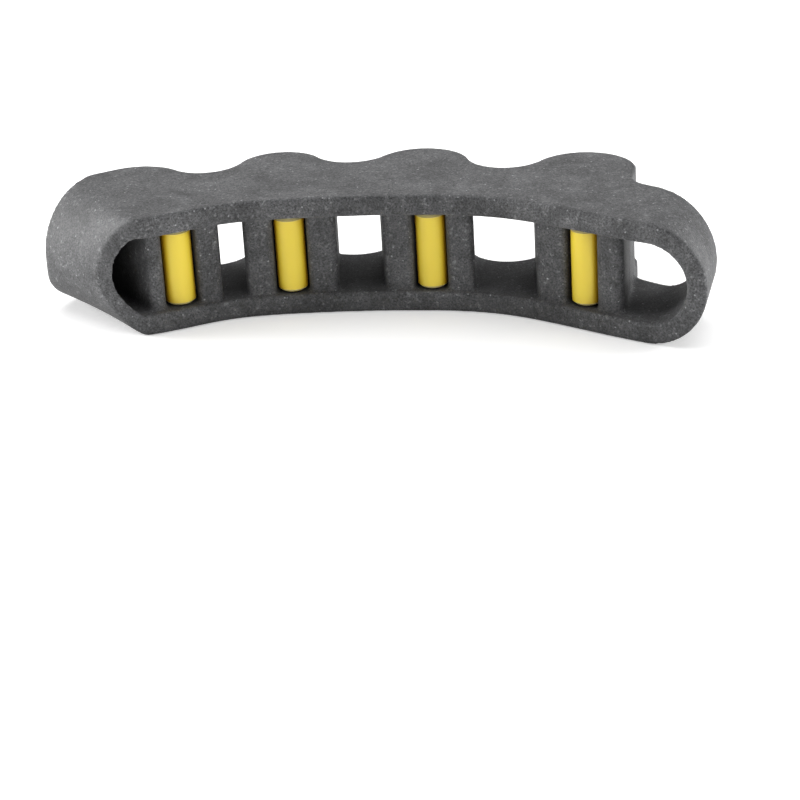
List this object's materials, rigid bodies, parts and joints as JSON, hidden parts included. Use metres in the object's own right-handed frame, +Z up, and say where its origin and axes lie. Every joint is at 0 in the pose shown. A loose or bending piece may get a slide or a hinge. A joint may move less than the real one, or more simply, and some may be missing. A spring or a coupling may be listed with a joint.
{
  "type": "finger exerciser",
  "caption": "Soft moulded spreader for fingers or toes: lobed parallel plates joined by hollow posts that each hold a slide-in rod, a closed end and an open end loop.",
  "frame": {"origin": "centre of the bounding box's bottom face, on the surface that the lower plate lies on", "axes": "+X along the moulding from the closed end to the open loop, +Y from the hollowed side with the rods to the lobed side, +Z up through the plates"},
  "size_m": [0.0932, 0.0338, 0.017],
  "materials": {
    "moulding": "matt speckled mid-grey silicone",
    "rod": "satin warm yellow, slightly translucent"
  },
  "bodies": {
    "post_1": {"closed_end": "moulding", "post_1": "moulding"},
    "straps_1_2": {"upper_strap_1_2": "moulding", "lower_strap_1_2": "moulding"},
    "post_2": {"post_2": "moulding"},
    "straps_2_3": {"upper_strap_2_3": "moulding", "lower_strap_2_3": "moulding"},
    "post_3": {"post_3": "moulding"},
    "straps_3_4": {"upper_strap_3_4": "moulding", "lower_strap_3_4": "moulding"},
    "post_4": {"post_4": "moulding", "upper_strap_4_loop": "moulding", "lower_strap_4_loop": "moulding"},
    "end_loop": {"end_loop": "moulding"},
    "rod_1": {"rod_1": "rod"},
    "rod_2": {"rod_2": "rod"},
    "rod_3": {"rod_3": "rod"},
    "rod_4": {"rod_4": "rod"}
  },
  "joints": [
    {"name": "stretch_1_2", "type": "slide", "parent": "post_2", "child": "straps_1_2", "axis": [-0.9687, -0.2482, 0], "range_m": [-0.0008, 0.0025], "stiffness_N_per_m": 9500, "deforming": ["upper_strap_1_2", "lower_strap_1_2"]},
    {"name": "fan_1_2", "type": "hinge", "parent": "straps_1_2", "child": "post_1", "pos_m": [-0.02164, 0.00222, 0.0085], "axis": [0, 0, 1], "range_deg": [-5, 8], "stiffness_Nm_per_rad": 0.26, "deforming": ["upper_strap_1_2", "lower_strap_1_2"]},
    {"name": "stretch_2_3", "type": "slide", "parent": "post_2", "child": "straps_2_3", "axis": [0.9977, 0.0685, 0], "range_m": [-0.0008, 0.0025], "stiffness_N_per_m": 9500, "deforming": ["upper_strap_2_3", "lower_strap_2_3"]},
    {"name": "fan_2_3", "type": "hinge", "parent": "straps_2_3", "child": "post_3", "pos_m": [-0.00299, 0.00385, 0.0085], "axis": [0, 0, -1], "range_deg": [-5, 8], "stiffness_Nm_per_rad": 0.26, "deforming": ["upper_strap_2_3", "lower_strap_2_3"]},
    {"name": "stretch_3_4", "type": "slide", "parent": "post_3", "child": "straps_3_4", "axis": [0.9774, -0.2112, 0], "range_m": [-0.0008, 0.0025], "stiffness_N_per_m": 8500, "deforming": ["upper_strap_3_4", "lower_strap_3_4"]},
    {"name": "fan_3_4", "type": "hinge", "parent": "straps_3_4", "child": "post_4", "pos_m": [0.0175, 0.00202, 0.0085], "axis": [0, 0, -1], "range_deg": [-5, 8], "stiffness_Nm_per_rad": 0.24, "deforming": ["upper_strap_3_4", "lower_strap_3_4"]},
    {"name": "loop_swing", "type": "hinge", "parent": "post_4", "child": "end_loop", "pos_m": [0.03644, -0.00598, 0.0085], "axis": [0, 0, -1], "range_deg": [-5, 8], "stiffness_Nm_per_rad": 0.14, "deforming": ["upper_strap_4_loop", "lower_strap_4_loop"]},
    {"name": "rod_1_slide", "type": "slide", "parent": "post_1", "child": "rod_1", "axis": [0.4197, -0.9077, 0], "range_m": [0, 0.014]},
    {"name": "rod_2_slide", "type": "slide", "parent": "post_2", "child": "rod_2", "axis": [0.1556, -0.9878, 0], "range_m": [0, 0.014]},
    {"name": "rod_3_slide", "type": "slide", "parent": "post_3", "child": "rod_3", "axis": [-0.055, -0.9985, 0], "range_m": [0, 0.014]},
    {"name": "rod_4_slide", "type": "slide", "parent": "post_4", "child": "rod_4", "axis": [-0.4381, -0.8989, 0], "range_m": [0, 0.014]}
  ]
}
